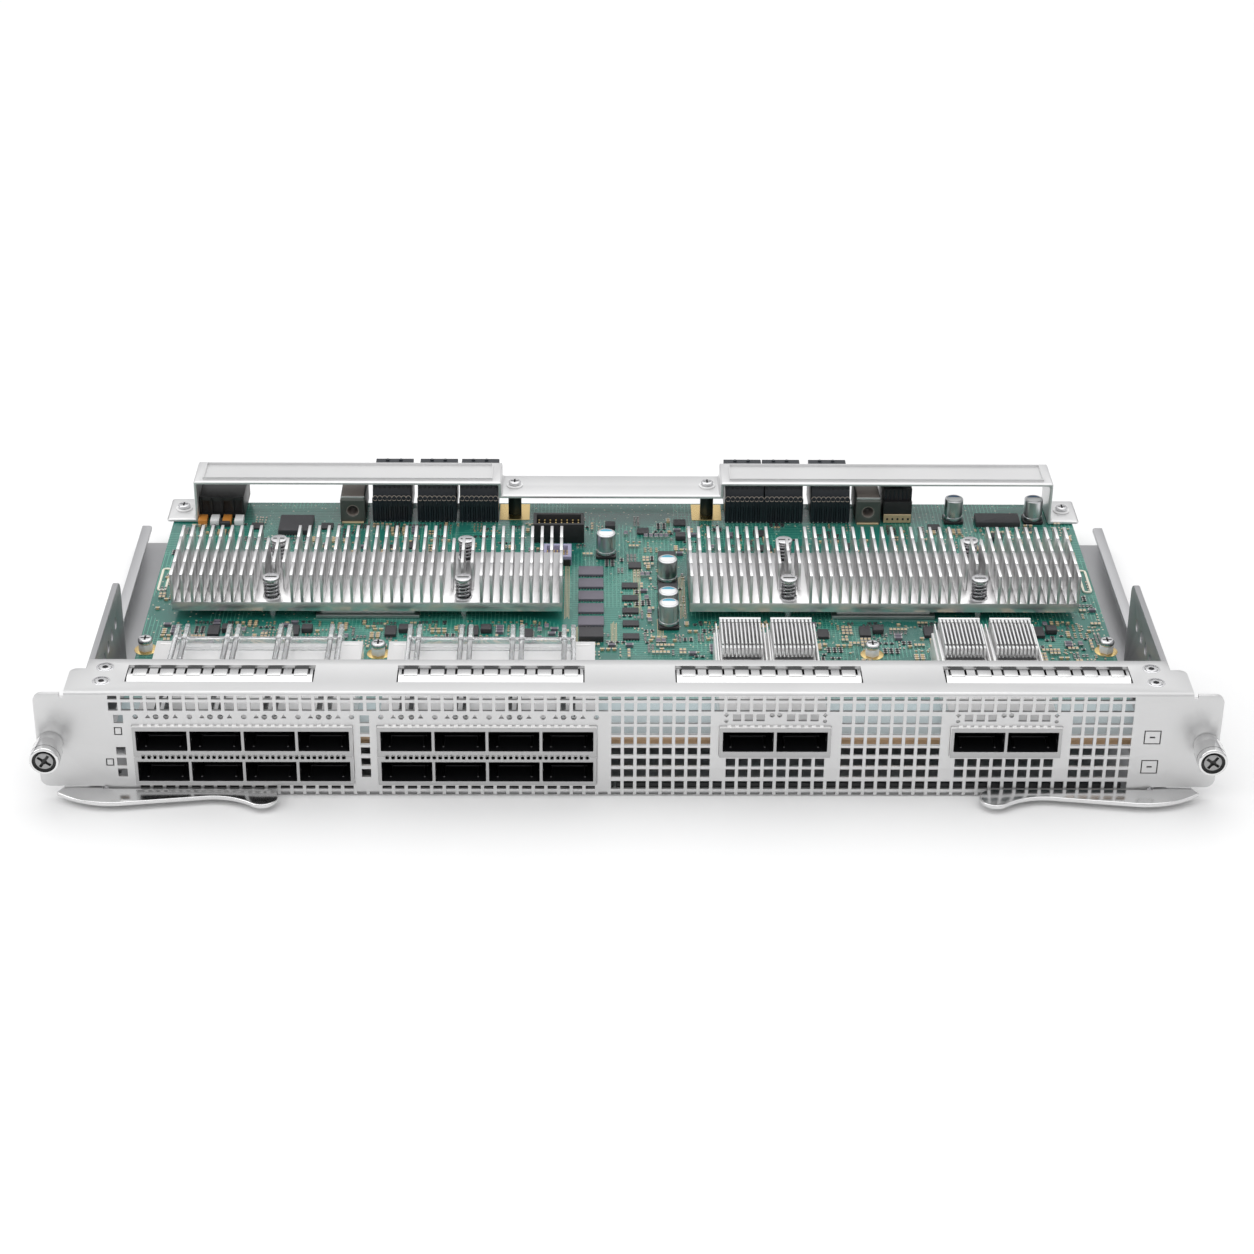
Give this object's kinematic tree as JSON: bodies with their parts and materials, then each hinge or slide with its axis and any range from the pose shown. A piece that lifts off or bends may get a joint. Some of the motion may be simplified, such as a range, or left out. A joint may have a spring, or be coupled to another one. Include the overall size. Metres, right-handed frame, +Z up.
{
  "type": "switch line card",
  "caption": "Chassis switch line card: sheet-metal tray with perforated front, stacked port cages, finned heat sinks, rear connectors, captive thumb screws and ejector levers.",
  "frame": {"origin": "middle of the tray's flat underside", "axes": "+X to the card's right seen from the front, +Y towards the backplane connectors, +Z up"},
  "size_m": [0.4432, 0.233, 0.0453],
  "materials": {
    "panel_metal": "satin light-grey metallic coat",
    "tray_metal": "satin zinc-grey",
    "bracket_metal": "satin light grey",
    "spring_steel": "bright spring steel",
    "screw_steel": "bright zinc",
    "polished_steel": "polished",
    "laminate": "teal-green solder mask",
    "cage_nickel": "nickel plated",
    "black_plastic": "moulded black",
    "navy_plastic": "moulded near-black navy",
    "clear_plastic": "clear polycarbonate",
    "sink_aluminium": "bright extruded aluminium",
    "chip_lid": "nickel-plated lid",
    "can_aluminium": "satin can",
    "chip_grey": "moulded grey",
    "chip_black": "moulded black",
    "guide_metal": "dark green-grey cast",
    "header_lavender": "lavender moulding"
  },
  "bodies": {
    "chassis": {"backplane_connector_1": "navy_plastic", "backplane_connector_2": "navy_plastic", "backplane_connector_3": "navy_plastic", "backplane_connector_4": "navy_plastic", "backplane_connector_5": "navy_plastic", "backplane_connector_6": "navy_plastic", "base_tray": "tray_metal", "board_capacitors": "can_aluminium", "board_chips": "chip_black", "board_screws": "screw_steel", "board_standoffs": "screw_steel", "box_header": "black_plastic", "bracket_posts": "guide_metal", "bracket_screws": "screw_steel", "cage_heat_sink_1": "sink_aluminium", "cage_heat_sink_2": "sink_aluminium", "cage_heat_sink_3": "sink_aluminium", "cage_heat_sink_4": "sink_aluminium", "circuit_board": "laminate", "finger_strip_1": "spring_steel", "finger_strip_2": "spring_steel", "finger_strip_3": "spring_steel", "finger_strip_4": "spring_steel", "flange_screws": "screw_steel", "front_panel": "panel_metal", "heat_sink_screws": "screw_steel", "heat_sink_springs": "screw_steel", "left_guide_block": "guide_metal", "left_heat_sink": "sink_aluminium", "left_light_pipes": "clear_plastic", "left_side_plate": "tray_metal", "left_switch_chip": "chip_lid", "lever_pivot_pins": "screw_steel", "lower_left_cage": "cage_nickel", "lower_middle_cage": "cage_nickel", "memory_chips": "chip_grey", "middle_light_pipes": "clear_plastic", "power_connector": "black_plastic", "rear_bracket": "bracket_metal", "rear_capacitors": "can_aluminium", "right_guide_block": "guide_metal", "right_heat_sink": "sink_aluminium", "right_side_plate": "tray_metal", "right_switch_chip": "chip_lid", "signal_header": "black_plastic", "single_cage_1": "cage_nickel", "single_cage_2": "cage_nickel", "single_receptacles": "black_plastic", "stacked_receptacles": "black_plastic", "stacking_connector": "header_lavender", "thumb_screw_ferrules": "polished_steel", "upper_left_cage": "cage_nickel", "upper_middle_cage": "cage_nickel"},
    "left_retainer": {"left_retaining_ring": "polished_steel"},
    "left_screw": {"left_thumb_screw": "polished_steel"},
    "left_lever": {"left_ejector_lever": "polished_steel"},
    "right_retainer": {"right_retaining_ring": "polished_steel"},
    "right_screw": {"right_thumb_screw": "polished_steel"},
    "right_lever": {"right_ejector_lever": "polished_steel"}
  },
  "joints": [
    {"name": "left_lever_swing", "type": "hinge", "parent": "chassis", "child": "left_lever", "pos_m": [-0.2036, -0.0936, 0.0021], "axis": [0, 0, -1], "range_deg": [0, 55]},
    {"name": "left_screw_slide", "type": "slide", "parent": "chassis", "child": "left_retainer", "axis": [0, -1, 0], "range_m": [0, 0.0045]},
    {"name": "left_screw_turn", "type": "hinge", "parent": "left_retainer", "child": "left_screw", "pos_m": [-0.216, -0.103, 0.0234], "axis": [0, -1, 0], "continuous": true},
    {"name": "right_lever_swing", "type": "hinge", "parent": "chassis", "child": "right_lever", "pos_m": [0.2036, -0.0936, 0.0021], "axis": [0, 0, 1], "range_deg": [0, 55]},
    {"name": "right_screw_slide", "type": "slide", "parent": "chassis", "child": "right_retainer", "axis": [0, -1, 0], "range_m": [0, 0.0045]},
    {"name": "right_screw_turn", "type": "hinge", "parent": "right_retainer", "child": "right_screw", "pos_m": [0.216, -0.103, 0.0234], "axis": [0, -1, 0], "continuous": true}
  ]
}
